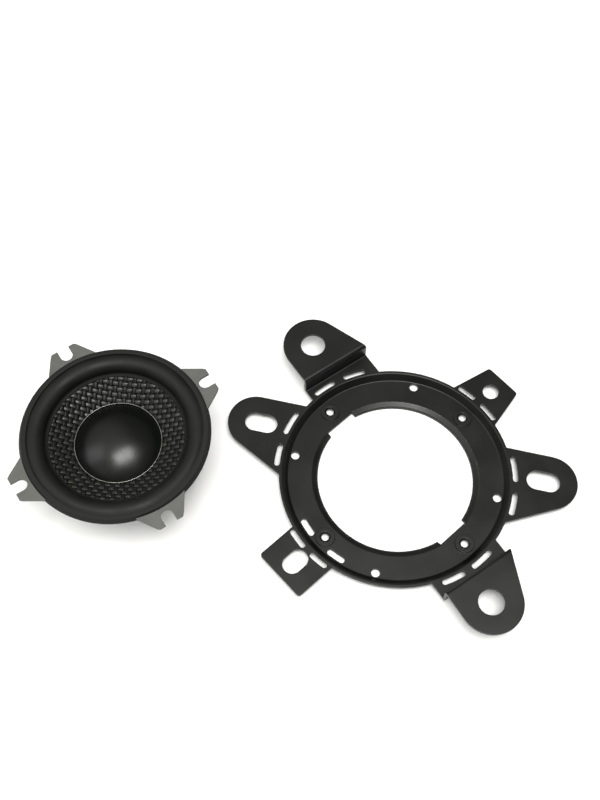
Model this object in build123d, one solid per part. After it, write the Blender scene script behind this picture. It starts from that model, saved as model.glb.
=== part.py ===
"""Small car loudspeaker driver and its six-arm mounting bracket, laid side by side.

Units are millimetres, +Z is up and z = 0 is the table both pieces lie on.
X and Y follow the bracket's own datum: its four plain holes lie on those axes.

Every value is either a size of its own or follows from the piece it fits to
plus a clearance, so the motor's coil drives the radii outwards, the motor's
stack drives the heights upwards, and the driver drives the bracket around it.
"""
import math
import os

from build123d import *

# ---------------------------------------------------------------- motor, radii
COIL_R = 15.95
FORMER_WALL = 0.25
WINDING_BUILD = 0.6
GAP_INSIDE = 0.35
GAP_OUTSIDE = 0.3
MAGNET_SETBACK = 0.75
CUP_WALL = 2.9
CUP_TAPER = 2.45

WINDING_R = COIL_R + WINDING_BUILD
POLE_R = COIL_R - FORMER_WALL - GAP_INSIDE
MAGNET_R = POLE_R - MAGNET_SETBACK
CUP_BORE_R = WINDING_R + GAP_OUTSIDE
CUP_R = CUP_BORE_R + CUP_WALL
CUP_FOOT_R = CUP_R - CUP_TAPER

# ---------------------------------------------------------------- motor, heights
CUP_FLOOR = 4.0
CUP_TAPER_HEIGHT = 4.4
MAGNET_THICK = 6.0
POLE_PLATE_THICK = 4.0
WINDING_HEIGHT = 6.6
FORMER_TAIL = 0.3

MAGNET_TOP = CUP_FLOOR + MAGNET_THICK
BASKET_FLOOR_Z = MAGNET_TOP + POLE_PLATE_THICK
WINDING_MIDDLE = MAGNET_TOP + POLE_PLATE_THICK / 2
WINDING_Z = (WINDING_MIDDLE - WINDING_HEIGHT / 2, WINDING_MIDDLE + WINDING_HEIGHT / 2)

# ---------------------------------------------------------------- basket
PLATE = 1.2
RIVET_R = 0.7
RIVET_HEAD_R = 1.2
RIVET_HEAD = 0.6
RIVET_DEPTH = 3.0
FLOOR_SETBACK = 0.4
SHELF_OUTSET = 2.55
SHELF_WIDTH = 2.5
MOUTH_STEP = 3.3
FLANGE_WIDTH = 3.5
MOUTH_ROUND = 1.3
SHELF_RISE = 6.5
BASKET_DEPTH = 22.0
WINDOW_HALF = 18.0
WINDOW_FOOT = 2.2
WINDOW_HEAD = 3.4

BASKET_FLOOR_R = CUP_BORE_R + FLOOR_SETBACK
RIVET_RING = CUP_BORE_R + CUP_WALL / 2 + 0.15
SHELF_INNER_R = CUP_R + SHELF_OUTSET
SHELF_OUTER_R = SHELF_INNER_R + SHELF_WIDTH
BASKET_MOUTH_R = SHELF_OUTER_R + MOUTH_STEP
BASKET_WALL_R = BASKET_MOUTH_R + PLATE
FLANGE_R = BASKET_WALL_R + FLANGE_WIDTH
SHELF_TOP = BASKET_FLOOR_Z + SHELF_RISE
EAR_TOP = BASKET_FLOOR_Z + BASKET_DEPTH
WINDOW_Z = (SHELF_TOP + WINDOW_FOOT, EAR_TOP - WINDOW_HEAD)

# ---------------------------------------------------------------- screws and ears
EAR_ANGLE = 45.65
TERMINAL_EAR = EAR_ANGLE + 90.0
SCREW_R = 1.5
SCREW_GAP = 0.1
SCREW_OUTSIDE_FLANGE = 3.8
EAR_SLOT_HALF = 2.27
EAR_PAST_SCREW = 3.65
EAR_TIP_HALF = 4.6
EAR_CHAMFER = 0.95
EAR_SHOULDER_HALF = 5.45
EAR_FOOT_HALF = 9.5
EAR_ROOT_HALF = 11.3

BOSS_RING = FLANGE_R + SCREW_OUTSIDE_FLANGE
EAR_SLOT_END = BOSS_RING - SCREW_R - SCREW_GAP
EAR_TIP = BOSS_RING + EAR_PAST_SCREW

# ---------------------------------------------------------------- rim, roll, cone
GASKET_OVERHANG = 1.5
GASKET_WIDTH = 2.75
GASKET_RISE = 1.0
GASKET_SHOULDER = 0.95
LAND = 0.5
LAND_SETBACK = 0.2
LAND_GAP = 0.05
ROLL_GROOVE = 0.2
ROLL_WIDTH = 5.75
ROLL_RISE = 1.05
CONE_GLUE_WIDTH = 1.6
CONE_DROP = 3.8
CONE_DEPTH = 5.15
CONE_WALL = 0.6
FORMER_PROUD = 0.65
CAP_SEAT = 0.5
CAP_HEIGHT = 6.0
CAP_WALL = 0.5
CAP_SKIRT = 0.9

GASKET_OUTER_R = FLANGE_R + GASKET_OVERHANG
GASKET_INNER_R = GASKET_OUTER_R - GASKET_WIDTH
GASKET_TOP = EAR_TOP + GASKET_RISE
LAND_R = FLANGE_R - LAND_SETBACK
ROLL_OUTER_R = GASKET_INNER_R - ROLL_GROOVE
CONE_OUTER_R = GASKET_INNER_R - ROLL_WIDTH
CONE_INNER_R = CONE_OUTER_R - CONE_GLUE_WIDTH
CONE_LIP_TOP = EAR_TOP - CONE_DROP
CONE_NECK_TOP = CONE_LIP_TOP - CONE_DEPTH
FORMER_Z = (WINDING_Z[0] - FORMER_TAIL, CONE_NECK_TOP + FORMER_PROUD)
CAP_EDGE_Z = FORMER_Z[1] - CAP_SEAT

# ---------------------------------------------------------------- spider
SPIDER_CLOTH = 0.4
SPIDER_WAVE = 0.6
SPIDER_GLUE_GAP = 0.3
SPIDER_COLLAR = 0.4

# ---------------------------------------------------------------- terminals
PAD_STEP = 0.4
PAD_MARGIN = 1.8
BOARD = 1.0
BOARD_HALF = 6.2
BOARD_FOOT = 3.3
BOARD_HEAD = 3.4
TAB = 0.5
TAB_Y = 3.7
TAB_WIDE = 4.8
TAB_NARROW = 2.8
TAB_LENGTH = 14.8
EYELET_DROP = 4.0
EYELET_R = 0.9
EYELET_HEAD_R = 1.35
EYELET_HEAD = 0.4
EYELET_CLEARANCE = 1.1
EYELET_TAIL = 0.4
RIVET_TAB_GAP = 0.15
BOARD_RIVET_LIP = 0.45
BOARD_RIVET_HEAD = 0.6
BOARD_RIVET_BACK = 0.5
BOARD_RIVET_LOW = 2.0
BOARD_RIVET_HIGH = 1.7
LEAD_R = 0.4
LEAD_OVER_SHELF = 3.5
LEAD_END_RISE = 4.5

PAD_FACE = BASKET_MOUTH_R + PAD_STEP
PAD_HALF = BOARD_HALF + PAD_MARGIN
BOARD_Z = (SHELF_TOP + BOARD_FOOT, EAR_TOP - BOARD_HEAD)
EYELET_Z = BOARD_Z[1] - EYELET_DROP
TAB_TOP = EYELET_Z + 2 * EYELET_R
TAB_Z = (TAB_TOP - TAB_LENGTH, TAB_TOP)
BOARD_RIVET_Z = (BOARD_Z[0] + BOARD_RIVET_LOW, BOARD_Z[1] - BOARD_RIVET_HIGH)
BOARD_RIVET_HEAD_R = TAB_Y - TAB_WIDE / 2 - RIVET_TAB_GAP
BOARD_RIVET_R = BOARD_RIVET_HEAD_R - BOARD_RIVET_LIP
TERMINAL_REACH = PAD_FACE + BOARD + TAB + EYELET_HEAD
EYELET_INNER = PAD_FACE - PLATE - EYELET_TAIL

# ---------------------------------------------------------------- bracket ring
SHEET = 1.2
DROP_IN_GAP = 0.4
LEDGE_WIDTH = 0.6
LEDGE_RUN = 1.6
LEDGE_STEP = 0.8
BOSS_R = 3.6
BOSS_HEIGHT = 1.0
BOSS_WALL = 0.9
BOSS_HOLE_R = 1.45
BOSS_HOLE_MOUTH_R = 2.05
BOSS_ANGLE = 55.1
BOSS_MARGIN = 1.0
WALL_RUN = 2.1
LIP_WIDTH = 1.15
LIP_RISE = 2.4
BEND_INSIDE = 0.5
BEND_OUTSIDE = 0.9
EDGE_BREAK = 0.2
NOTCH_GAP = 0.4
NOTCH_SIDE_GAP = 0.3

OPENING_R = BASKET_WALL_R + DROP_IN_GAP
LEDGE_R = OPENING_R + LEDGE_WIDTH
SLOPE_R = LEDGE_R + LEDGE_RUN
LEDGE_TOP = SHEET
FLOOR_TOP = LEDGE_TOP + LEDGE_STEP
FLOOR_EDGE_R = BOSS_RING + BOSS_R + BOSS_MARGIN
LIP_INNER_R = FLOOR_EDGE_R + WALL_RUN
LIP_OUTER_R = LIP_INNER_R + LIP_WIDTH
LIP_TOP = FLOOR_TOP + LIP_RISE
NOTCH_FACE = TERMINAL_REACH + NOTCH_GAP
NOTCH_HALF = BOARD_HALF + NOTCH_SIDE_GAP

# ---------------------------------------------------------------- bracket holes
SMALL_HOLE_R = 1.65
SMALL_HOLE_INSET = 2.0
SMALL_HOLE_RING = FLOOR_EDGE_R - SMALL_HOLE_INSET

SNAP_OUTSET = 1.0
SNAP_WIDTH = 2.1
SNAP_RING = LIP_OUTER_R + SNAP_OUTSET
SNAP_SPANS = [
    (-8.5, 3.3), (8.9, 22.2),
    (43.0, 53.7), (57.6, 67.6),
    (116.4, 127.8), (132.8, 144.8),
    (157.8, 171.1), (176.7, 188.5),
    (222.3, 232.8), (236.9, 246.8),
    (302.5, 314.4), (318.6, 330.8),
]
FACE_SLOT_INSET = 1.8
FACE_SLOT_WIDTH = 2.4
FACE_SLOT_RING = FLOOR_EDGE_R - FACE_SLOT_INSET
FACE_SLOT_SPANS = [(218.8, 229.7), (241.3, 252.2)]

# ---------------------------------------------------------------- bracket arms
ARM_BURIED = 5.3
SLOT_ARM_TIP_R = 10.8
SLOT_ARM_LENGTH = 12.75
SLOT_ARM_Y = 9.6
SLOT_ARM_ROOT_Y = -9.9
ARM_SLOT_INSET = 2.2
ARM_SLOT_LENGTH = 12.7
ARM_SLOT_WIDTH = 7.7
SLOT_ARM_TIP = (LIP_OUTER_R + SLOT_ARM_LENGTH, SLOT_ARM_Y)
SLOT_ARM_ROOT = (LIP_INNER_R, SLOT_ARM_ROOT_Y)
SLOT_ARM_REACH = SLOT_ARM_TIP[0] + SLOT_ARM_TIP_R

SQUARE_ARM_LENGTH = 15.05
SQUARE_ARM_CORNER_R = 1.2
SQUARE_ARM_REACH = LIP_OUTER_R + SQUARE_ARM_LENGTH
HOLE_ARM_ANGLE = BOSS_ANGLE
HOLE_ARM_TIP_HALF = 7.5
HOLE_ARM_ROOT_HALF = 12.1
HOLE_ARM_HOLE_INSET = 7.2
HOLE_ARM_HOLE_R = 3.15
OBLONG_ARM_ANGLE = BOSS_ANGLE + 180.0
OBLONG_ARM_HALF = 10.7
OBLONG_INSET = 7.9
OBLONG_LENGTH = 10.4
OBLONG_WIDTH = 7.3

ARM_STEP = 7.4
ARM_STEP_OUTSET = 4.05
RAISED_TOP = LIP_TOP + ARM_STEP
RAISED_FACE = LIP_OUTER_R + ARM_STEP_OUTSET
RAISED_HOLE_R = 4.8
RAISED_TIP_R = 11.7
RAISED_HOLE_OUT = 16.15
RAISED_HOLE_SIDE = -3.3
# direction of each raised arm, then its low side and its high side
RAISED_ARMS = [
    (137.0, -20.6, 8.3),
    (317.0, -14.6, 15.0),
]

# ---------------------------------------------------------------- layout
PAIR_GAP = 7.483
PAIR_DIRECTION = 214.602
PAIR_REACH = GASKET_OUTER_R + SLOT_ARM_TIP_R + PAIR_GAP
PAIR_X = -SLOT_ARM_TIP[0] + PAIR_REACH * math.cos(math.radians(PAIR_DIRECTION))
PAIR_Y = SLOT_ARM_TIP[1] + PAIR_REACH * math.sin(math.radians(PAIR_DIRECTION))
BRACKET_CENTRE = ((GASKET_OUTER_R - PAIR_X - SLOT_ARM_REACH) / 2, 0.0)
DRIVER_CENTRE = (BRACKET_CENTRE[0] + PAIR_X, BRACKET_CENTRE[1] + PAIR_Y)


# ---------------------------------------------------------------- helpers
def turned_solid(points):
    """Solid of revolution about Z from (radius, height) corners."""
    wire = Polyline(*[(r, 0, z) for r, z in points], close=True)
    return revolve(make_face(wire), Axis.Z)


def ring(inner, outer, low, high):
    """Plain ring or, with no inner radius, a disc."""
    body = Pos(0, 0, (low + high) / 2) * Cylinder(outer, high - low)
    if inner > 0:
        body -= Pos(0, 0, (low + high) / 2) * Cylinder(inner, high - low + 1)
    return body


def slab(x, y, z):
    """Box between pairs of limits."""
    size = [b - a for a, b in (x, y, z)]
    mid = [(a + b) / 2 for a, b in (x, y, z)]
    return Pos(*mid) * Box(*size)


def peg(radius, start, end, y, z):
    """Round bar along X between two x values."""
    mid = (start + end) / 2
    return Pos(mid, y, z) * Rot(0, 90, 0) * Cylinder(radius, end - start)


def prism(sketch, low, high):
    """Flat sketch raised between two heights."""
    return Pos(0, 0, low) * extrude(sketch, high - low)


def about_z(angle):
    return Rot(0, 0, angle)


def polygon(points):
    return make_face(Polyline(*points, close=True))


def arc_slot(radius, width, span):
    """Round-ended slot along a circle; span covers both round ends."""
    end = math.degrees(width / 2 / radius)
    start = span[0] + end
    length = span[1] - span[0] - 2 * end
    return SlotArc(CenterArc((0, 0), radius, start, length), width)


def tip_outline(point_a, point_b, centre, radius):
    """Two root points joined by tangents to a round tip."""
    outline = Pos(*centre) * Circle(radius)
    for point, side in ((point_a, 1), (point_b, -1)):
        dx = centre[0] - point[0]
        dy = centre[1] - point[1]
        gap = math.hypot(dx, dy)
        turn = math.atan2(dy, dx) + side * math.asin(radius / gap)
        reach = math.sqrt(gap * gap - radius * radius)
        touch = (point[0] + reach * math.cos(turn), point[1] + reach * math.sin(turn))
        outline += polygon([point, touch, centre])
    return outline + polygon([point_a, centre, point_b])


# ---------------------------------------------------------------- bracket
def bracket_dish():
    """Pressed ring: narrow ledge, short slope, flat floor, sloping wall and outer lip."""
    under = FLOOR_TOP - SHEET
    lip_under = LIP_TOP - SHEET
    corners = [
        (OPENING_R, 0.0, 0.0),
        (LEDGE_R + 0.3, 0.0, 0.4),
        (SLOPE_R + 0.3, under, 0.0),
        (FLOOR_EDGE_R + 0.6, under, BEND_OUTSIDE),
        (LIP_INNER_R + 0.6, lip_under, 0.0),
        (LIP_OUTER_R, lip_under, 0.0),
        (LIP_OUTER_R, LIP_TOP, EDGE_BREAK),
        (LIP_INNER_R, LIP_TOP, BEND_INSIDE),
        (FLOOR_EDGE_R, FLOOR_TOP, BEND_INSIDE),
        (SLOPE_R, FLOOR_TOP, BEND_INSIDE),
        (LEDGE_R, LEDGE_TOP, 0.0),
        (OPENING_R, LEDGE_TOP, EDGE_BREAK),
    ]
    wire = Polyline(*[(r, 0, z) for r, z, bend in corners], close=True)
    section = make_face(wire)
    for r, z, bend in corners:
        if bend:
            corner = section.vertices().sort_by_distance((r, 0, z))[0]
            section = fillet(corner, bend)
    return revolve(section, Axis.Z)


def slot_arm():
    tip = SLOT_ARM_TIP
    top = tip[1] + SLOT_ARM_TIP_R
    corner = (OPENING_R, top)
    outline = tip_outline(corner, SLOT_ARM_ROOT, tip, SLOT_ARM_TIP_R)
    outline += polygon([corner, tip, SLOT_ARM_ROOT, (LIP_INNER_R - ARM_BURIED, 0.0)])
    slot = SlotOverall(ARM_SLOT_LENGTH, ARM_SLOT_WIDTH)
    return outline - Pos(tip[0] - ARM_SLOT_INSET, tip[1]) * slot


def square_arm(tip_half, root_half, angle):
    root = LIP_INNER_R - ARM_BURIED
    outline = polygon([
        (root, -root_half),
        (SQUARE_ARM_REACH, -tip_half),
        (SQUARE_ARM_REACH, tip_half),
        (root, root_half),
    ])
    outer = outline.vertices().sort_by(Axis.X)[-2:]
    return about_z(angle) * fillet(outer, SQUARE_ARM_CORNER_R)


def flat_arms():
    right = slot_arm()
    arms = right + mirror(right, Plane.YZ)
    arms += square_arm(HOLE_ARM_TIP_HALF, HOLE_ARM_ROOT_HALF, HOLE_ARM_ANGLE)
    arms += square_arm(OBLONG_ARM_HALF, OBLONG_ARM_HALF, OBLONG_ARM_ANGLE)
    hole = Pos(SQUARE_ARM_REACH - HOLE_ARM_HOLE_INSET, 0) * Circle(HOLE_ARM_HOLE_R)
    oblong = SlotOverall(OBLONG_LENGTH, OBLONG_WIDTH)
    oblong = Pos(SQUARE_ARM_REACH - OBLONG_INSET, 0) * oblong
    arms -= about_z(HOLE_ARM_ANGLE) * hole
    arms -= about_z(OBLONG_ARM_ANGLE) * oblong
    arms -= Circle(LIP_INNER_R + 0.5)
    return prism(arms, LIP_TOP - SHEET, LIP_TOP)


def raised_arm(angle, low, high):
    """Arm that steps up: root strip, upright wall and round-tipped plate."""
    face = RAISED_FACE
    root = LIP_INNER_R - ARM_BURIED
    along = LIP_OUTER_R + RAISED_HOLE_OUT
    across = RAISED_HOLE_SIDE
    end = along + 2 * RAISED_TIP_R
    step = Polyline(
        (root, 0, LIP_TOP - SHEET),
        (face + SHEET, 0, LIP_TOP - SHEET),
        (face + SHEET, 0, RAISED_TOP - SHEET),
        (end, 0, RAISED_TOP - SHEET),
        (end, 0, RAISED_TOP),
        (face, 0, RAISED_TOP),
        (face, 0, LIP_TOP),
        (root, 0, LIP_TOP),
        close=True,
    )
    section = make_face(step)
    corners = [v for v in section.vertices() if face - 1 < v.X < face + 2]
    for corner in corners:
        outer_low = corner.X > face + 0.6
        high_side = corner.Z > (LIP_TOP + RAISED_TOP) / 2
        radius = 0.5 if outer_low == high_side else 1.5
        section = fillet(section.vertices().sort_by_distance(corner)[0], radius)
    strip = extrude(section, amount=200, both=True)
    outline = polygon([(OPENING_R, low), (face, low), (face, high), (OPENING_R, high)])
    outline += tip_outline((face, high), (face, low), (along, across), RAISED_TIP_R)
    arm = strip & prism(outline, 0.0, RAISED_TOP + 5.0)
    arm -= ring(0, LIP_INNER_R + 0.5, 0.0, RAISED_TOP + 5.0)
    arm -= Pos(along, across, RAISED_TOP) * Cylinder(RAISED_HOLE_R, 6.0)
    return about_z(angle) * arm


def notched(dish):
    """Straight-sided clearance for the terminals at two opposite bosses."""
    for turn in (90.0, 270.0):
        angle = BOSS_ANGLE + turn
        span = (-NOTCH_HALF, NOTCH_HALF)
        dish -= about_z(angle) * slab((OPENING_R / 2, SLOPE_R + 0.7), span, (-1.0, LIP_TOP))
        floor = slab((NOTCH_FACE, SLOPE_R + 1.1), span, (FLOOR_TOP - SHEET, FLOOR_TOP))
        dish += about_z(angle) * floor
    return dish


def with_bosses(dish):
    """Four raised pads for the driver's ears, each with a screw hole."""
    top = FLOOR_TOP + BOSS_HEIGHT
    for turn in range(4):
        place = about_z(BOSS_ANGLE + 90 * turn) * Pos(BOSS_RING, 0, 0)
        dish += place * ring(0, BOSS_R, FLOOR_TOP - 0.2, top)
        dish -= place * ring(0, BOSS_R - BOSS_WALL, 0.0, top - SHEET)
        dish -= place * ring(0, BOSS_HOLE_R, 0.0, top + 1.0)
        mouth = Pos(0, 0, top - 0.25) * Cone(BOSS_HOLE_R, BOSS_HOLE_MOUTH_R, 0.5)
        dish -= place * mouth
    return dish


def bracket():
    body = with_bosses(notched(bracket_dish()))
    body += flat_arms()
    for arm in RAISED_ARMS:
        body += raised_arm(*arm)
    for turn in range(4):
        hole = ring(0, SMALL_HOLE_R, 0.0, LIP_TOP)
        body -= about_z(90 * turn) * Pos(SMALL_HOLE_RING, 0, 0) * hole
    for span in SNAP_SPANS:
        slot = arc_slot(SNAP_RING, SNAP_WIDTH, span)
        body -= prism(slot, LIP_TOP - 2 * SHEET, LIP_TOP + SHEET)
    for span in FACE_SLOT_SPANS:
        slot = arc_slot(FACE_SLOT_RING, FACE_SLOT_WIDTH, span)
        body -= prism(slot, 0.0, FLOOR_TOP + SHEET)
    return body


# ---------------------------------------------------------------- driver frame
def ear():
    root = BASKET_MOUTH_R + 0.4
    foot = FLANGE_R + 0.1
    shoulder = EAR_TIP - EAR_CHAMFER
    outline = polygon([
        (root, -EAR_ROOT_HALF),
        (foot, -EAR_FOOT_HALF),
        (shoulder, -EAR_SHOULDER_HALF),
        (EAR_TIP, -EAR_TIP_HALF),
        (EAR_TIP, EAR_TIP_HALF),
        (shoulder, EAR_SHOULDER_HALF),
        (foot, EAR_FOOT_HALF),
        (root, EAR_ROOT_HALF),
    ])
    start = EAR_SLOT_END + EAR_SLOT_HALF
    slot = Pos(start, 0) * Circle(EAR_SLOT_HALF)
    slot += Pos(start + EAR_TIP / 2, 0) * Rectangle(EAR_TIP, 2 * EAR_SLOT_HALF)
    return outline - slot


def on_terminal_side(solid):
    return about_z(TERMINAL_EAR) * solid


def basket():
    """Pressed frame: flange with four slotted ears, windowed wall, shelf and floor."""
    floor = BASKET_FLOOR_Z
    body = turned_solid([
        (BASKET_FLOOR_R, floor),
        (SHELF_INNER_R + 0.2, floor),
        (SHELF_INNER_R + 1.2, SHELF_TOP - PLATE),
        (SHELF_OUTER_R + PLATE, SHELF_TOP - PLATE),
        (BASKET_WALL_R, EAR_TOP - PLATE),
        (FLANGE_R, EAR_TOP - PLATE),
        (FLANGE_R, EAR_TOP),
        (BASKET_MOUTH_R + MOUTH_ROUND, EAR_TOP),
        (BASKET_MOUTH_R + MOUTH_ROUND / 3, EAR_TOP - MOUTH_ROUND / 3),
        (BASKET_MOUTH_R - MOUTH_ROUND / 6, EAR_TOP - MOUTH_ROUND),
        (SHELF_OUTER_R, SHELF_TOP),
        (SHELF_INNER_R, SHELF_TOP),
        (SHELF_INNER_R - 1.0, floor + PLATE),
        (BASKET_FLOOR_R, floor + PLATE),
    ])
    for turn in range(4):
        place = about_z(EAR_ANGLE + 90 * turn)
        body += place * prism(ear(), EAR_TOP - PLATE, EAR_TOP)
        body -= place * Pos(RIVET_RING, 0, 0) * ring(0, RIVET_R, floor - 1, floor + 2 * PLATE)
        half = SHELF_OUTER_R * math.tan(math.radians(WINDOW_HALF))
        window = slab((SHELF_OUTER_R - 1.9, FLANGE_R), (-half, half), WINDOW_Z)
        body -= about_z(EAR_ANGLE + 45 + 90 * turn) * window
    wide = (-PAD_HALF, PAD_HALF)
    tall = (BOARD_Z[0] - PAD_MARGIN / 2, EAR_TOP - PLATE)
    body += on_terminal_side(slab((PAD_FACE - PLATE, PAD_FACE), wide, tall))
    body -= on_terminal_side(slab((PAD_FACE, PAD_FACE + 3.0), wide, tall))
    through = (SHELF_OUTER_R - 0.9, FLANGE_R)
    clear = EYELET_R + EYELET_CLEARANCE
    back = PAD_FACE - PLATE
    for side in (-1, 1):
        body -= on_terminal_side(peg(clear, *through, side * TAB_Y, EYELET_Z))
    for height in BOARD_RIVET_Z:
        body -= on_terminal_side(peg(BOARD_RIVET_R, *through, 0, height))
        body -= on_terminal_side(peg(BOARD_RIVET_HEAD_R, through[0], back, 0, height))
    return body


def gasket():
    """Rubber edging over the surround's outer land and round the flange's edge."""
    inner, outer = GASKET_INNER_R, GASKET_OUTER_R
    low = EAR_TOP - PLATE
    body = turned_solid([
        (inner, EAR_TOP + LAND),
        (LAND_R + LAND_GAP, EAR_TOP + LAND),
        (LAND_R + LAND_GAP, EAR_TOP),
        (FLANGE_R, EAR_TOP),
        (FLANGE_R, low),
        (outer, low),
        (outer, low + 0.4),
        (outer - GASKET_SHOULDER, GASKET_TOP - 0.1),
        (outer - GASKET_SHOULDER - 0.3, GASKET_TOP),
        (inner + 0.3, GASKET_TOP),
        (inner, GASKET_TOP - 0.3),
    ])
    for turn in range(4):
        body -= about_z(EAR_ANGLE + 90 * turn) * prism(ear(), low, EAR_TOP)
    return body


def circle_through(a, b, c):
    """Centre and radius of the circle through three (radius, height) points."""
    ax, az = a
    bx, bz = b[0] - ax, b[1] - az
    cx, cz = c[0] - ax, c[1] - az
    twice = 2 * (bx * cz - bz * cx)
    x = (cz * (bx * bx + bz * bz) - bz * (cx * cx + cz * cz)) / twice
    z = (bx * (cx * cx + cz * cz) - cx * (bx * bx + bz * bz)) / twice
    return (ax + x, az + z), math.hypot(x, z)


def surround():
    """Rubber half roll of even wall between the flange and the cone's edge."""
    cone_z = CONE_LIP_TOP
    over_out = (ROLL_OUTER_R, EAR_TOP + LAND)
    over_in = (CONE_OUTER_R - 0.05, cone_z + LAND)
    crest = ((over_out[0] + over_in[0]) / 2 + 0.05, EAR_TOP + ROLL_RISE)
    centre, radius = circle_through(over_out, crest, over_in)
    inside = radius - LAND

    def under(height, side):
        rise = height - centre[1]
        return (centre[0] + side * math.sqrt(inside * inside - rise * rise), height)

    inner_foot = under(cone_z, -1)
    outer_foot = under(EAR_TOP, 1)
    lean = math.atan2(over_out[1] - over_in[1], over_out[0] - over_in[0]) + math.pi / 2
    under_crest = (centre[0] + inside * math.cos(lean), centre[1] + inside * math.sin(lean))
    inner_edge = CONE_INNER_R + 0.1

    def at(point):
        return (point[0], 0, point[1])

    edges = [
        Line(at((inner_edge, cone_z)), at(inner_foot)),
        ThreePointArc(at(inner_foot), at(under_crest), at(outer_foot)),
        Line(at(outer_foot), at((LAND_R, EAR_TOP))),
        Line(at((LAND_R, EAR_TOP)), at((LAND_R, EAR_TOP + LAND))),
        Line(at((LAND_R, EAR_TOP + LAND)), at(over_out)),
        ThreePointArc(at(over_out), at(crest), at(over_in)),
        Line(at(over_in), at((inner_edge, cone_z + LAND))),
        Line(at((inner_edge, cone_z + LAND)), at((inner_edge, cone_z))),
    ]
    return revolve(make_face(edges), Axis.Z)


def spider():
    """Corrugated cloth disc on the basket's shelf, centring the coil."""
    inner = COIL_R + SPIDER_GLUE_GAP
    collar = inner + SPIDER_COLLAR
    rim = SHELF_OUTER_R - 0.4
    steps = 24
    start = inner + 1.0
    end = SHELF_INNER_R - 0.2
    upper = []
    lower = []
    for step in range(steps + 1):
        share = step / steps
        radius = start + share * (end - start)
        wave = SPIDER_WAVE * math.sin(2 * math.pi * 3 * share)
        upper.append((radius, SHELF_TOP + SPIDER_CLOTH + wave))
        lower.append((radius, SHELF_TOP + wave))
    low = SHELF_TOP - SPIDER_CLOTH
    high = SHELF_TOP + 2 * SPIDER_CLOTH
    outline = [(inner, low), (inner, high), (collar, high)]
    outline += upper
    outline += [(rim, SHELF_TOP + SPIDER_CLOTH), (rim, SHELF_TOP)]
    outline += lower[::-1]
    outline += [(collar, low)]
    return turned_solid(outline)


# ---------------------------------------------------------------- moving assembly
def cone():
    neck = CONE_NECK_TOP
    lip = CONE_LIP_TOP
    return turned_solid([
        (COIL_R, neck - CONE_WALL),
        (CONE_INNER_R + 0.1, lip - LAND),
        (CONE_OUTER_R, lip - LAND),
        (CONE_OUTER_R, lip),
        (CONE_INNER_R - 0.1, lip),
        (COIL_R, neck),
    ])


def dust_cap():
    """Domed cap seated inside the top of the coil former."""
    edge = COIL_R - FORMER_WALL
    radius = (edge * edge + CAP_HEIGHT * CAP_HEIGHT) / (2 * CAP_HEIGHT)
    centre = CAP_EDGE_Z + CAP_HEIGHT - radius
    dome = Pos(0, 0, centre) * Sphere(radius)
    dome -= Pos(0, 0, centre) * Sphere(radius - CAP_WALL)
    dome = dome & ring(0, edge, CAP_EDGE_Z, CAP_EDGE_Z + CAP_HEIGHT + 1)
    skirt = ring(edge - 0.7, edge, CAP_EDGE_Z - CAP_SKIRT, CAP_EDGE_Z + 0.05)
    return dome + skirt


def coil_former():
    return ring(COIL_R - FORMER_WALL, COIL_R, *FORMER_Z)


def coil_winding():
    return ring(COIL_R, WINDING_R, *WINDING_Z)


# ---------------------------------------------------------------- motor
def motor_cup():
    """Steel cup round the magnet; its tapered foot stands on the table."""
    return turned_solid([
        (0.0, 0.0),
        (CUP_FOOT_R, 0.0),
        (CUP_R, CUP_TAPER_HEIGHT),
        (CUP_R, BASKET_FLOOR_Z),
        (CUP_BORE_R, BASKET_FLOOR_Z),
        (CUP_BORE_R, CUP_FLOOR),
        (0.0, CUP_FLOOR),
    ]) - rivet_holes()


def rivet_holes():
    holes = ring(0, RIVET_R, BASKET_FLOOR_Z - RIVET_DEPTH, BASKET_FLOOR_Z + PLATE)
    places = [about_z(EAR_ANGLE + 90 * turn) * Pos(RIVET_RING, 0, 0) for turn in range(4)]
    return [place * holes for place in places]


def magnet():
    return ring(0, MAGNET_R, CUP_FLOOR, MAGNET_TOP)


def pole_plate():
    return ring(0, POLE_R, MAGNET_TOP, BASKET_FLOOR_Z)


def basket_rivets():
    """Four rivets holding the basket's floor to the cup's rim."""
    rivets = []
    seat = BASKET_FLOOR_Z + PLATE
    for turn in range(4):
        place = about_z(EAR_ANGLE + 90 * turn) * Pos(RIVET_RING, 0, 0)
        rivet = ring(0, RIVET_R, BASKET_FLOOR_Z - RIVET_DEPTH, seat)
        rivet += ring(0, RIVET_HEAD_R, seat, seat + RIVET_HEAD)
        rivets.append(place * rivet)
    return Compound(children=rivets)


# ---------------------------------------------------------------- terminals
def terminal_board():
    board = slab((PAD_FACE, PAD_FACE + BOARD), (-BOARD_HALF, BOARD_HALF), BOARD_Z)
    for side in (-1, 1):
        board -= peg(EYELET_R, PAD_FACE - BOARD, PAD_FACE + 2 * BOARD, side * TAB_Y, EYELET_Z)
    for height in BOARD_RIVET_Z:
        board -= peg(BOARD_RIVET_R, PAD_FACE - BOARD, PAD_FACE + 2 * BOARD, 0, height)
    return on_terminal_side(board)


def terminal_tab(width, side):
    """Push-on blade, riveted at its upper end and hanging beside the magnet."""
    face = PAD_FACE + BOARD
    middle = side * TAB_Y
    blade = slab((face, face + TAB), (middle - width / 2, middle + width / 2), TAB_Z)
    blade -= peg(EYELET_R, face - TAB, face + 2 * TAB, middle, EYELET_Z)
    return on_terminal_side(blade)


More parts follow.
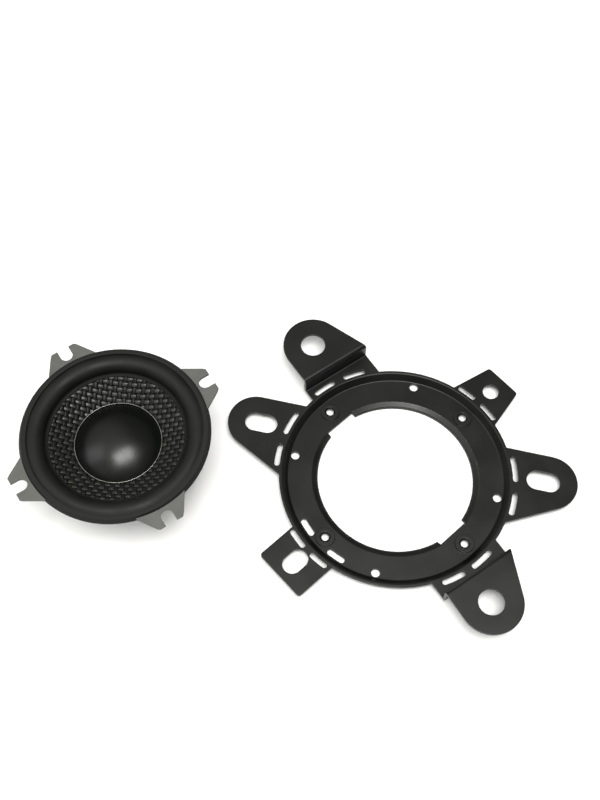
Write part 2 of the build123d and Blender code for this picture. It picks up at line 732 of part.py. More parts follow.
def tab_eyelets():
    """Two eyelets: outer head on the tab, inner end for the flexible lead."""
    face = PAD_FACE + BOARD + TAB
    eyelets = []
    for side in (-1, 1):
        eyelet = peg(EYELET_R, EYELET_INNER, face, side * TAB_Y, EYELET_Z)
        eyelet += peg(EYELET_HEAD_R, face, face + EYELET_HEAD, side * TAB_Y, EYELET_Z)
        eyelets.append(on_terminal_side(eyelet))
    return Compound(children=eyelets)


def board_rivets():
    """Two rivets holding the board to the basket's flat pad."""
    face = PAD_FACE + BOARD
    back = PAD_FACE - PLATE
    rivets = []
    for height in BOARD_RIVET_Z:
        rivet = peg(BOARD_RIVET_R, back, face, 0, height)
        rivet += peg(BOARD_RIVET_HEAD_R, face, face + BOARD_RIVET_HEAD, 0, height)
        rivet += peg(BOARD_RIVET_HEAD_R, back - BOARD_RIVET_BACK, back, 0, height)
        rivets.append(on_terminal_side(rivet))
    return Compound(children=rivets)


def flexible_lead(side):
    """Braided lead that sags between the eyelet and the coil former."""
    start = (EYELET_INNER, side * TAB_Y, EYELET_Z)
    middle = (SHELF_INNER_R - 0.3, side * (TAB_Y - 0.3), SHELF_TOP + LEAD_OVER_SHELF)
    end = (COIL_R + 0.7, side * 1.6, SHELF_TOP + LEAD_END_RISE)
    path = Spline(start, middle, end, tangents=((-1, 0, 0), (-1, 0, 0.25)))
    section = Plane(origin=path @ 0, z_dir=path % 0) * Circle(LEAD_R)
    return on_terminal_side(sweep(section, path))


# ---------------------------------------------------------------- assembly
DRIVER_NODES = {
    "basket": basket,
    "rim_gasket": gasket,
    "surround": surround,
    "cone": cone,
    "dust_cap": dust_cap,
    "coil_former": coil_former,
    "coil_winding": coil_winding,
    "spider": spider,
    "pole_plate": pole_plate,
    "magnet_disc": magnet,
    "motor_cup": motor_cup,
    "basket_rivets": basket_rivets,
    "terminal_board": terminal_board,
    "terminal_tab_wide": lambda: terminal_tab(TAB_WIDE, 1),
    "terminal_tab_narrow": lambda: terminal_tab(TAB_NARROW, -1),
    "tab_eyelets": tab_eyelets,
    "board_rivets": board_rivets,
    "lead_wide": lambda: flexible_lead(1),
    "lead_narrow": lambda: flexible_lead(-1),
}

BRACKET_NODES = {"bracket": bracket}


def write_nodes(nodes, centre):
    for name, make in nodes.items():
        export_step(Pos(centre[0], centre[1], 0) * make(), f"parts/{name}.step")


if __name__ == "__main__":
    os.makedirs("parts", exist_ok=True)
    write_nodes(DRIVER_NODES, DRIVER_CENTRE)
    write_nodes(BRACKET_NODES, BRACKET_CENTRE)
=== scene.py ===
"""Looks for a small car loudspeaker driver and its six-arm mounting bracket.

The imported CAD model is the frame. Turned parts are rebuilt here as finer lathed
meshes, the cone as real woven tows, and every surface gets a node material.
"""
import math
import random

import bpy
from mathutils import Matrix, Vector
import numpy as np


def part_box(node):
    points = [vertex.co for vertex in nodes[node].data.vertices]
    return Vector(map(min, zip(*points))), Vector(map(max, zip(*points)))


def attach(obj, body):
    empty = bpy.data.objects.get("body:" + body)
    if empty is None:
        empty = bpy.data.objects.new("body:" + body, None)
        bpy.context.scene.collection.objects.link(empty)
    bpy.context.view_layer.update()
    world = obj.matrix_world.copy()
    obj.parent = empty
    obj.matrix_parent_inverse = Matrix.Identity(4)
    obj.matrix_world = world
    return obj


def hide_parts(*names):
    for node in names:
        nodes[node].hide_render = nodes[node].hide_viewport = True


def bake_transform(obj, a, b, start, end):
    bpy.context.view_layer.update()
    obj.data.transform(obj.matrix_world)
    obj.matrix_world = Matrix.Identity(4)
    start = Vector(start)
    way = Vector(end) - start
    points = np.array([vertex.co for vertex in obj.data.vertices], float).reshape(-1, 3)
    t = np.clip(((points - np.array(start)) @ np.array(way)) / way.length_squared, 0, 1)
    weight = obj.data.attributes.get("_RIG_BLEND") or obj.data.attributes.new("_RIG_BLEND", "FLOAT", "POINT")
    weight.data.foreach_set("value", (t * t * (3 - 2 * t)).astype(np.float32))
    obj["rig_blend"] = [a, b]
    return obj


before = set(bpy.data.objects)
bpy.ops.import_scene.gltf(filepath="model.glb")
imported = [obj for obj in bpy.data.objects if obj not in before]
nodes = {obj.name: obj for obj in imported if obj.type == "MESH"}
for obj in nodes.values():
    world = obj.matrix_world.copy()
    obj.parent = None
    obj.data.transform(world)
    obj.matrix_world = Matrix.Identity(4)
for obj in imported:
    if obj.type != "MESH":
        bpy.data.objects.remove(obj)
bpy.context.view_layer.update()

MM = 0.001
RANGE_SOCKETS = ("From Min", "From Max", "To Min", "To Max")

# ------------------------------------------------------------------ places from the CAD
CUP_LOW, CUP_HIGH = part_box("motor_cup")
AXIS_X = (CUP_LOW.x + CUP_HIGH.x) / 2 / MM
AXIS_Y = (CUP_LOW.y + CUP_HIGH.y) / 2 / MM


def span_r(node):
    """Outer radius of a turned node, in millimetres."""
    low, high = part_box(node)
    return (high.x - low.x) / 2 / MM


def span_z(node):
    """Lowest and highest point of a node, in millimetres."""
    low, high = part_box(node)
    return low.z / MM, high.z / MM


# ------------------------------------------------------------------ meshes
def new_mesh(name, points, faces, smooth=True):
    mesh = bpy.data.meshes.new(name)
    mesh.from_pydata([Vector(p) * MM for p in points], [], faces)
    mesh.validate()
    for polygon in mesh.polygons:
        polygon.use_smooth = smooth
    piece = bpy.data.objects.new(name, mesh)
    bpy.context.scene.collection.objects.link(piece)
    return piece


def around_axis(profile, turns):
    """Copies of (radius, height) points at even steps about the driver's axis."""
    points = []
    for k in range(turns):
        a = 2 * math.pi * k / turns
        for r, z in profile:
            points.append((AXIS_X + r * math.cos(a), AXIS_Y + r * math.sin(a), z))
    return points


def rounded(corners, steps=4):
    """Closed profile from (radius, height, rounding) corners."""
    outline = []
    count = len(corners)
    for i, (r, z, size) in enumerate(corners):
        here = Vector((r, z))
        before = Vector(corners[i - 1][:2]) - here
        after = Vector(corners[(i + 1) % count][:2]) - here
        if size <= 0 or before.length < 1e-6 or after.length < 1e-6:
            outline.append((r, z))
            continue
        turn = before.angle(after)
        cut = min(size / max(math.tan(turn / 2), 0.05), 0.49 * before.length, 0.49 * after.length)
        a = here + before.normalized() * cut
        b = here + after.normalized() * cut
        for k in range(steps + 1):
            t = k / steps
            p = a * (1 - t) ** 2 + here * 2 * t * (1 - t) + b * t * t
            outline.append((p.x, p.y))
    return outline


def revolve(profile, turns):
    """Points and faces of a closed outline turned about the driver's axis."""
    count = len(profile)
    points = around_axis(profile, turns)
    faces = []
    for k in range(turns):
        after = (k + 1) % turns
        for i in range(count):
            j = (i + 1) % count
            faces.append((k * count + i, after * count + i, after * count + j, k * count + j))
    return points, faces


def lathe(name, profile, turns=360):
    """Closed ring from a closed (radius, height) outline, wound to face outwards."""
    count = len(profile)
    area = sum(
        profile[i - 1][0] * profile[i][1] - profile[i][0] * profile[i - 1][1]
        for i in range(count)
    )
    if area < 0:
        profile = profile[::-1]
    return new_mesh(name, *revolve(profile, turns))


def dome(name, profile, turns=240):
    """Closed shell from an open outline whose first and last points lie on the axis."""
    rings = profile[1:-1]
    count = len(rings)
    points = [(AXIS_X, AXIS_Y, profile[0][1]), (AXIS_X, AXIS_Y, profile[-1][1])]
    points += around_axis(rings, turns)
    faces = []
    for k in range(turns):
        here = 2 + k * count
        after = 2 + ((k + 1) % turns) * count
        faces.append((0, here, after))
        for i in range(count - 1):
            faces.append((here + i, here + i + 1, after + i + 1, after + i))
        faces.append((1, after + count - 1, here + count - 1))
    return new_mesh(name, points, faces)


# ------------------------------------------------------------------ materials
class Finish:
    """Principled material with helpers for procedural colour, roughness and bump."""

    def __init__(self, name, colour, rough, **constants):
        self.material = bpy.data.materials.new(name)
        self.material.use_nodes = True
        self.tree = self.material.node_tree
        self.shader = self.tree.nodes["Principled BSDF"]
        self.shader.inputs["Base Color"].default_value = (*colour, 1)
        self.shader.inputs["Roughness"].default_value = rough
        for key, value in constants.items():
            self.shader.inputs[key.replace("_", " ")].default_value = value
        self.material.diffuse_color = (*colour, 1)
        self.colour = colour
        self.rough = rough
        self.normal = None
        self.tint = None
        self.coordinates = self.add("ShaderNodeTexCoord").outputs["Object"]

    def add(self, kind, **values):
        """New node with these properties set."""
        node = self.tree.nodes.new(kind)
        for key, value in values.items():
            setattr(node, key, value)
        return node

    def link(self, source, target):
        self.tree.links.new(source, target)

    def noise(self, size_mm, detail=3.0, stretch=(1, 1, 1), coordinates=None):
        """Noise with features of about this size."""
        mapping = self.add("ShaderNodeMapping")
        mapping.inputs["Scale"].default_value = stretch
        self.link(coordinates or self.coordinates, mapping.inputs["Vector"])
        texture = self.add("ShaderNodeTexNoise")
        texture.inputs["Scale"].default_value = 1 / (size_mm * MM)
        texture.inputs["Detail"].default_value = detail
        self.link(mapping.outputs["Vector"], texture.inputs["Vector"])
        return texture.outputs["Fac"]

    def ramp(self, source, low, high, start, end):
        """Source between low and high mapped to start and end."""
        node = self.add("ShaderNodeMapRange")
        for key, value in zip(RANGE_SOCKETS, (low, high, start, end)):
            node.inputs[key].default_value = value
        self.link(source, node.inputs["Value"])
        return node.outputs["Result"]

    def vary_colour(self, source, other, low=0.4, high=0.65):
        """Mixes towards another colour where the source is high."""
        mix = self.add("ShaderNodeMix", data_type="RGBA")
        if self.tint is None:
            mix.inputs["A"].default_value = (*self.colour, 1)
        else:
            self.link(self.tint, mix.inputs["A"])
        mix.inputs["B"].default_value = (*other, 1)
        self.link(self.ramp(source, low, high, 0.0, 1.0), mix.inputs["Factor"])
        self.tint = mix.outputs["Result"]
        self.link(self.tint, self.shader.inputs["Base Color"])
        return self

    def vary_rough(self, source, start, end, low=0.35, high=0.65):
        """Roughness from start to end as the source rises."""
        self.link(self.ramp(source, low, high, start, end), self.shader.inputs["Roughness"])
        return self

    def soften(self, radius_mm):
        """Rounded look on cut edges."""
        bevel = self.add("ShaderNodeBevel", samples=6)
        bevel.inputs["Radius"].default_value = radius_mm * MM
        self.normal = bevel.outputs["Normal"]
        self.link(self.normal, self.shader.inputs["Normal"])
        return self

    def bump(self, source, height_mm, strength=0.5):
        """Relief on top of any bevel or bump already there."""
        node = self.add("ShaderNodeBump")
        node.inputs["Distance"].default_value = height_mm * MM
        node.inputs["Strength"].default_value = strength
        self.link(source, node.inputs["Height"])
        if self.normal is not None:
            self.link(self.normal, node.inputs["Normal"])
        self.normal = node.outputs["Normal"]
        self.link(self.normal, self.shader.inputs["Normal"])
        return self


def rubber(name, colour, worn, rough):
    """Moulded rubber: faint worn patches over a fine grain."""
    finish = Finish(name, colour, rough, Specular_IOR_Level=0.24)
    broad = finish.noise(9.0, 4.0)
    fine = finish.noise(0.22, 2.0)
    finish.vary_colour(broad, worn, 0.42, 0.7)
    finish.vary_rough(broad, rough - 0.06, rough + 0.08)
    finish.bump(fine, 0.02, 0.35)
    return finish.material


def black_coat():
    """Black dip coat on the bracket: broad cloudiness, fine peel and specks of dust."""
    finish = Finish("black_dip_coat", (0.0014, 0.0016, 0.0013), 0.36, Specular_IOR_Level=0.35)
    broad = finish.noise(14.0, 5.0)
    peel = finish.noise(0.55, 2.0)
    dust = finish.noise(0.18, 1.0)
    finish.vary_colour(broad, (0.0034, 0.0036, 0.0032), 0.4, 0.7)
    finish.vary_colour(dust, (0.03, 0.03, 0.028), 0.75, 0.82)
    finish.vary_rough(broad, 0.32, 0.42)
    finish.soften(0.3)
    finish.bump(peel, 0.02, 0.3)
    return finish.material


def plated(name, colour, rough, metal=1.0, grain=0.35):
    """Plated metal with a fine grain, grain given in millimetres."""
    finish = Finish(name, colour, rough, Metallic=metal)
    broad = finish.noise(6.0, 4.0)
    fine = finish.noise(grain, 3.0)
    darker = tuple(c * 0.82 for c in colour)
    finish.vary_colour(broad, darker, 0.4, 0.7)
    finish.vary_rough(fine, rough - 0.07, rough + 0.08)
    finish.soften(0.15)
    finish.bump(fine, 0.01, 0.25)
    return finish.material


def tow_fibre(name, colour, dark, light, rough, specular):
    """Resin-bonded yarn: fine filaments run along U."""
    finish = Finish(name, colour, rough, Specular_IOR_Level=specular, Anisotropic=0.5)
    uv = finish.add("ShaderNodeUVMap", uv_map="along").outputs["UV"]
    filaments = finish.noise(1.0, 3.0, (60, 9000, 1), uv)
    broad = finish.noise(5.0, 3.0)
    finish.vary_colour(filaments, dark, 0.45, 0.62)
    finish.vary_colour(broad, light, 0.5, 0.75)
    finish.vary_rough(filaments, rough - 0.06, rough + 0.1)
    tangent = finish.add("ShaderNodeTangent", direction_type="UV_MAP", uv_map="along")
    finish.link(tangent.outputs["Tangent"], finish.shader.inputs["Tangent"])
    finish.bump(filaments, 0.02, 0.5)
    return finish.material


def cone_base():
    """Dark resin that shows between the tows."""
    finish = Finish("cone_resin", (0.003, 0.003, 0.003), 0.65, Specular_IOR_Level=0.2)
    finish.vary_colour(finish.noise(2.0), (0.006, 0.006, 0.006))
    finish.bump(finish.noise(0.3), 0.03, 0.4)
    return finish.material


def dome_lacquer():
    """Lacquered cap with a slightly uneven gloss and specks of dust."""
    finish = Finish("dome_lacquer", (0.0016, 0.0022, 0.0017), 0.29, Specular_IOR_Level=0.36)
    broad = finish.noise(7.0, 4.0)
    finish.vary_colour(finish.noise(0.16, 1.0), (0.03, 0.03, 0.03), 0.77, 0.83)
    finish.vary_rough(broad, 0.26, 0.33)
    finish.bump(finish.noise(1.2, 2.0), 0.01, 0.25)
    return finish.material


def foil():
    """Thin metal sleeve, its tone uneven along the cut edge."""
    finish = Finish("former_foil", (0.30, 0.30, 0.28), 0.30, Metallic=1.0)
    finish.vary_rough(finish.noise(0.8, 3.0, (1, 1, 8)), 0.24, 0.44)
    finish.vary_colour(finish.noise(2.5), (0.18, 0.18, 0.17), 0.45, 0.7)
    finish.bump(finish.noise(2.0), 0.01, 0.2)
    return finish.material


def copper():
    """Enamelled copper wire."""
    finish = Finish("coil_enamel", (0.62, 0.27, 0.11), 0.3, Metallic=1.0, Coat_Weight=0.4)
    finish.vary_colour(finish.noise(1.5), (0.45, 0.17, 0.07), 0.45, 0.7)
    finish.vary_rough(finish.noise(0.6), 0.24, 0.4)
    finish.bump(finish.noise(0.3), 0.01, 0.3)
    return finish.material


def cloth(name, colour, dark, thread_mm):
    """Coarse resin-dipped cloth seen as a fine crossed weave."""
    finish = Finish(name, colour, 0.75, Specular_IOR_Level=0.3)
    across = finish.add("ShaderNodeTexWave", bands_direction="X", wave_profile="SIN")
    along = finish.add("ShaderNodeTexWave", bands_direction="Y", wave_profile="SIN")
    for wave in (across, along):
        wave.inputs["Scale"].default_value = 0.5 / (thread_mm * MM * math.pi)
        wave.inputs["Distortion"].default_value = 0.3
        finish.link(finish.coordinates, wave.inputs["Vector"])
    weave = finish.add("ShaderNodeMath", operation="MAXIMUM")
    finish.link(across.outputs["Fac"], weave.inputs[0])
    finish.link(along.outputs["Fac"], weave.inputs[1])
    finish.vary_colour(weave.outputs[0], dark, 0.95, 0.3)
    finish.vary_colour(finish.noise(4.0), tuple(c * 0.8 for c in colour), 0.5, 0.75)
    finish.vary_rough(finish.noise(0.8), 0.68, 0.85)
    finish.bump(weave.outputs[0], 0.06, 0.5)
    return finish.material


def laminate():
    """Brown paper laminate with its layers along the edge."""
    finish = Finish("paper_laminate", (0.17, 0.065, 0.028), 0.45)
    finish.vary_colour(finish.noise(0.5, 4.0, (1, 1, 5)), (0.11, 0.04, 0.018), 0.45, 0.7)
    finish.vary_rough(finish.noise(1.5), 0.38, 0.55)
    finish.soften(0.1)
    finish.bump(finish.noise(0.3), 0.015, 0.3)
    return finish.material


def assign(piece, *materials):
    """Gives a piece these material slots and no others."""
    piece.data.materials.clear()
    for material in materials:
        piece.data.materials.append(material)


RIM_RUBBER = rubber("rim_rubber", (0.0058, 0.0064, 0.0053), (0.0090, 0.0096, 0.0082), 0.62)
ROLL_RUBBER = rubber("roll_rubber", (0.0048, 0.0054, 0.0044), (0.0076, 0.0082, 0.0069), 0.56)
# Dark band at the roll's inner foot: a glue bead, made darker still as painted shade cast by the roll.
GLUE_AND_SHADE = rubber("rim_glue_and_shade", (0.0015, 0.0015, 0.0015), (0.003, 0.003, 0.003), 0.7)
COAT = black_coat()
EAR_METAL = plated("basket_plating", (0.096, 0.097, 0.090), 0.55, 0.2)
STEEL = plated("zinc_plating", (0.50, 0.50, 0.50), 0.34)
NICKEL = plated("nickel_plating", (0.62, 0.60, 0.56), 0.22)
RIVET = plated("rivet_plating", (0.58, 0.58, 0.57), 0.28, 1.0, 0.2)
TIN = plated("tinned_brass", (0.66, 0.62, 0.50), 0.3, 1.0, 0.2)
# The two tow materials are one fibre in a lit and a shaded copy. The lighter one carries painted sheen and
# the darker one painted shade, in place of the weave's reflection that changes with direction.
TOW = tow_fibre(
    "woven_tow", (0.021, 0.022, 0.019), (0.010, 0.010, 0.009), (0.030, 0.0295, 0.026), 0.36, 0.42
)
SHADED_TOW = tow_fibre(
    "woven_tow_shaded",
    (0.0040, 0.0042, 0.0037), (0.0020, 0.0020, 0.0019), (0.007, 0.007, 0.0063), 0.45, 0.25,
)
RESIN = cone_base()
LACQUER = dome_lacquer()
FOIL = foil()
COPPER = copper()
SPIDER_CLOTH = cloth("spider_cloth", (0.50, 0.33, 0.12), (0.20, 0.12, 0.04), 0.45)
LAMINATE = laminate()
BRAID = plated("tinsel_braid", (0.62, 0.40, 0.22), 0.35, 1.0, 0.1)

for node, material in {
    "basket": EAR_METAL,
    "pole_plate": STEEL,
    "motor_cup": STEEL,
    "magnet_disc": NICKEL,
    "basket_rivets": RIVET,
    "board_rivets": RIVET,
    "tab_eyelets": RIVET,
    "terminal_board": LAMINATE,
    "terminal_tab_wide": TIN,
    "terminal_tab_narrow": TIN,
    "bracket": COAT,
}.items():
    assign(nodes[node], material)

# ------------------------------------------------------------------ rim ring
GASKET_R = span_r("rim_gasket")
GASKET_LOW, GASKET_TOP = span_z("rim_gasket")
LAND_R = span_r("surround")
CONE_LIP_R = span_r("cone")
CONE_TOP = span_z("cone")[1]
LAND = 0.5
GASKET_WIDTH = 2.75
GASKET_SHOULDER = 0.95
GASKET_SIDE = 0.5
GASKET_OVERHANG = 1.5
LAND_GAP = 0.05
FLANGE_R = GASKET_R - GASKET_OVERHANG
EAR_TOP = span_z("basket")[1]
ROLL_RISE = 1.05
ROLL_STEPS = 40
LIP_OVERLAP = 1.5
# Width of the dark band past the roll's inner foot, a glue bead that also carries painted shade.
GLUE_SHADE_BAND_WIDTH = 0.25


def rim_gasket():
    """Rubber edging: a flat top, a sloping shoulder and a wrap round the flange."""
    inner = GASKET_R - GASKET_WIDTH
    profile = rounded([
        (inner, EAR_TOP + LAND, 0),
        (LAND_R + LAND_GAP, EAR_TOP + LAND, 0),
        (LAND_R + LAND_GAP, EAR_TOP, 0),
        (FLANGE_R, EAR_TOP, 0),
        (FLANGE_R, GASKET_LOW, 0),
        (GASKET_R, GASKET_LOW, 0.15),
        (GASKET_R, GASKET_LOW + GASKET_SIDE, 0.5),
        (GASKET_R - GASKET_SHOULDER, GASKET_TOP, 0.45),
        (inner, GASKET_TOP, 0.3),
    ], 6)
    piece = lathe("rim_ring", profile)
    assign(piece, RIM_RUBBER)
    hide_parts("rim_gasket")
    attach(piece, "driver_frame")


def radial_blend(piece, fixed_r, moving_r):
    """Weights by radius: the fixed edge follows the frame, the moving edge the cone.
    """
    low = Vector((0, 0, 0))
    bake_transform(piece, "driver_frame", "cone_assembly", start=low, end=low + Vector((0, 0, 0.1)))
    weights = piece.data.attributes["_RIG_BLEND"].data
    for vertex, weight in zip(piece.data.vertices, weights):
        r = math.hypot(vertex.co.x / MM - AXIS_X, vertex.co.y / MM - AXIS_Y)
        t = min(max((fixed_r - r) / (fixed_r - moving_r), 0), 1)
        weight.value = t * t * (3 - 2 * t)


def circle_through(a, b, c):
    """Centre and radius of the circle through three (radius, height) points."""
    bx, bz = b[0] - a[0], b[1] - a[1]
    cx, cz = c[0] - a[0], c[1] - a[1]
    twice = 2 * (bx * cz - bz * cx)
    x = (cz * (bx * bx + bz * bz) - bz * (cx * cx + cz * cz)) / twice
    z = (bx * (cx * cx + cz * cz) - cx * (bx * bx + bz * bz)) / twice
    return a[0] + x, a[1] + z, math.hypot(x, z)


def surround():
    """Half roll of even wall, glued to the flange and to the cone's lip."""
    outer_foot = GASKET_R - GASKET_WIDTH - 0.2
    inner_foot = CONE_LIP_R - 0.05
    crest = ((outer_foot + inner_foot) / 2 + 0.05, EAR_TOP + ROLL_RISE)
    start = (outer_foot, EAR_TOP + LAND)
    stop = (inner_foot, CONE_TOP + LAND)
    x, z, radius = circle_through(start, crest, stop)

    def arc(size, top_z, low_z):
        first = math.asin((top_z - z) / size)
        last = math.pi - math.asin((low_z - z) / size)
        turns = [first + (last - first) * k / ROLL_STEPS for k in range(ROLL_STEPS + 1)]
        return [(x + size * math.cos(a), z + size * math.sin(a)) for a in turns]

    over = arc(radius, EAR_TOP + LAND, CONE_TOP + LAND)
    under = arc(radius - LAND, EAR_TOP, CONE_TOP)
    edge = CONE_LIP_R - LIP_OVERLAP
    lip = [
        (edge + 0.25, CONE_TOP + LAND - 0.04),
        (edge + 0.06, CONE_TOP + LAND - 0.14),
        (edge, CONE_TOP + 0.15),
        (edge, CONE_TOP),
    ]
    outline = [(LAND_R, EAR_TOP), (LAND_R, EAR_TOP + LAND)] + over + lip + under[::-1]
    piece = lathe("roll", outline)
    assign(piece, ROLL_RUBBER, GLUE_AND_SHADE)
    # Faces near the inner foot and over the cone's lip get the dark band: glue, plus painted shade under the
    # roll.
    for polygon in piece.data.polygons:
        reach = math.hypot(polygon.center.x / MM - AXIS_X, polygon.center.y / MM - AXIS_Y)
        polygon.material_index = 1 if reach < inner_foot + GLUE_SHADE_BAND_WIDTH else 0
    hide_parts("surround")
    radial_blend(piece, outer_foot, inner_foot)


# ------------------------------------------------------------------ woven cone
COIL_R = span_r("coil_former")
FORMER_LOW, FORMER_TOP = span_z("coil_former")
CONE_INNER_R = CONE_LIP_R - 1.6
SLOPE_END_R = CONE_INNER_R - 0.1
NECK_TOP = FORMER_TOP - 0.65
CONE_SLOPE = (CONE_TOP - NECK_TOP) / (SLOPE_END_R - COIL_R)
TOW_PITCH = 1.75
TOW_WIDTH = 1.6
TOW_THICK = 0.26
TOW_RIBS = 5
TOW_STEP = 0.22
TOW_SINK = 0.06
TOW_WANDER = 0.05
WEAVE_HEIGHT = 0.17
WEAVE_TURN = math.radians(7.0)
SHEET_DROP = 0.2


def cone_height(r):
    """Height of the weave's middle surface: a straight flare, then the flat lip."""
    return min(NECK_TOP + CONE_SLOPE * (r - COIL_R), CONE_TOP)


def cone_normal(x, y):
    """Direction straight out of the weave's middle surface."""
    r = math.hypot(x, y)
    slope = CONE_SLOPE if r < SLOPE_END_R else 0
    return Vector((-slope * x / r, -slope * y / r, 1)).normalized()


def tow_stations(offset, inner, outer):
    """Runs of a straight line at this offset that lie between two circles."""
    far = math.sqrt(outer * outer - offset * offset)
    if abs(offset) < inner:
        near = math.sqrt(inner * inner - offset * offset)
        return [(-far, -near), (near, far)]
    return [(-far, far)]


def woven_cone():
    """Plain weave on a resin sheet, as one mesh: one tow family carries painted sheen, the crossing family
    painted shade.
    """
    outer = CONE_INNER_R + 0.35
    inner = COIL_R + 0.12
    points, faces, uvs = [], [], []
    section = []
    for k in range(TOW_RIBS):
        share = -1 + 2 * k / (TOW_RIBS - 1)
        section.append((share, math.sqrt(max(1 - share * share, 0)) * 0.5))
    section += [(share, -height) for share, height in section[-2:0:-1]]
    count = len(section)
    half_count = int(outer / TOW_PITCH) + 1
    rng = random.Random(7)
    for family in (0, 1):
        turn = WEAVE_TURN + family * math.pi / 2
        if family:
            first_shaded_tow = len(faces)
        ahead = Vector((math.cos(turn), math.sin(turn)))
        side = Vector((-math.sin(turn), math.cos(turn)))
        for index in range(-half_count, half_count):
            offset = (index + 0.5) * TOW_PITCH + rng.uniform(-TOW_WANDER, TOW_WANDER)
            if abs(offset) >= outer - 0.4:
                continue
            for low, high in tow_stations(offset, inner, outer):
                steps = max(int((high - low) / TOW_STEP), 3)
                start = len(points)
                for step in range(steps + 1):
                    s = low + (high - low) * step / steps
                    wave = math.sin(math.pi * s / TOW_PITCH)
                    over = wave if index % 2 else -wave
                    spread = TOW_WIDTH / 2 * (1 + 0.05 * over)
                    for share, height in section:
                        flat = ahead * s + side * (offset + share * spread)
                        crown = 1 - 0.35 * share * share
                        lift = WEAVE_HEIGHT * over * crown + TOW_THICK * height - TOW_SINK
                        base = Vector((flat.x, flat.y, cone_height(flat.length)))
                        p = base + cone_normal(flat.x, flat.y) * lift
                        points.append((AXIS_X + p.x, AXIS_Y + p.y, p.z))
                        uvs.append((s * MM, (offset + share * spread + family * 70) * MM))
                for step in range(steps):
                    for k in range(count):
                        j = (k + 1) % count
                        a = start + step * count
                        b = a + count
                        faces.append((a + k, a + j, b + j, b + k))
                faces.append(tuple(start + k for k in range(count)))
                faces.append(tuple(start + steps * count + k for k in reversed(range(count))))
    tows = len(faces)
    base_points, base_faces = base_sheet()
    shift = len(points)
    points += base_points
    uvs += [(0, 0)] * len(base_points)
    faces += [tuple(shift + i for i in face) for face in base_faces]
    piece = new_mesh("cone_weave", points, faces)
    layer = piece.data.uv_layers.new(name="along")
    for loop in piece.data.loops:
        layer.data[loop.index].uv = uvs[loop.vertex_index]
    assign(piece, TOW, SHADED_TOW, RESIN)
    # The first family gets the painted sheen copy, the crossing family the painted shade copy, and the sheet
    # the resin.
    for polygon in piece.data.polygons:
        light = polygon.index < first_shaded_tow
        polygon.material_index = 0 if light else 1 if polygon.index < tows else 2
    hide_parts("cone")
    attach(piece, "cone_assembly")


def base_sheet():
    """Dark resin-filled sheet that the tows stand on, with the cone's rim."""
    profile = [
        (COIL_R, NECK_TOP - 0.6),
        (CONE_INNER_R + 0.1, CONE_TOP - 0.5),
        (CONE_LIP_R, CONE_TOP - 0.5),
        (CONE_LIP_R, CONE_TOP - 0.02),
        (CONE_INNER_R + 0.2, CONE_TOP - 0.02),
        (CONE_INNER_R, CONE_TOP - SHEET_DROP),
        (COIL_R, NECK_TOP - 0.9 * SHEET_DROP),
    ]
    return revolve(profile, 240)


# ------------------------------------------------------------------ dome and former
CAP_R = span_r("dust_cap")
CAP_LOW, CAP_TOP = span_z("dust_cap")
CAP_WALL = 0.5
CAP_STEPS = 44
FORMER_WALL = 0.25
WIRE = 0.33


def dust_cap():
    """Pressed dome with a rolled foot and a short skirt inside the former."""
    foot = CAP_LOW + 0.9
    height = CAP_TOP - foot
    edge = CAP_R - 0.1
    radius = (edge * edge + height * height) / (2 * height)
    centre = CAP_TOP - radius
    reach = math.asin(edge / radius)

    def cap_arc(size):
        turns = [reach * k / CAP_STEPS for k in range(CAP_STEPS + 1)]
        return [(size * math.sin(a), centre + size * math.cos(a)) for a in turns]

    outside = cap_arc(radius)
    outside[0] = (0, CAP_TOP)
    inside = cap_arc(radius - CAP_WALL)[::-1]
    inside[-1] = (0, CAP_TOP - CAP_WALL)
    skirt = [
        (edge + 0.08, foot - 0.12),
        (edge + 0.08, CAP_LOW),
        (edge - 0.45, CAP_LOW),
        (edge - 0.45, foot - 0.2),
    ]
    piece = dome("dome_cap", outside + skirt + inside)
    assign(piece, LACQUER)
    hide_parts("dust_cap")
    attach(piece, "cone_assembly")


def coil_former():
    """Thin foil tube whose cut top edge shows as a bright ring."""
    bore = COIL_R - FORMER_WALL
    profile = rounded([
        (bore, FORMER_LOW, 0.05),
        (COIL_R, FORMER_LOW, 0.05),
        (COIL_R, FORMER_TOP, 0.09),
        (bore, FORMER_TOP, 0.09),
    ])
    piece = lathe("foil_former", profile)
    assign(piece, FOIL)
    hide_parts("coil_former")
    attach(piece, "cone_assembly")


def coil_winding():
    """Packed turns of wire, as scallops on the winding's outer face."""
    outer = span_r("coil_winding")
    low, high = span_z("coil_winding")
    count = int((high - low) / WIRE)
    pitch = (high - low) / count
    profile = [(COIL_R, high), (COIL_R, low)]
    for k in range(count):
        middle = low + pitch * (k + 0.5)
        for step in range(5):
            a = math.pi * (step / 4 - 0.5)
            bulge = 0.98 * math.cos(a)
            profile.append((outer + pitch / 2 * (bulge - 1), middle + pitch / 2 * math.sin(a)))
    piece = lathe("wire_turns", profile, 240)
    assign(piece, COPPER)
    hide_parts("coil_winding")
    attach(piece, "cone_assembly")


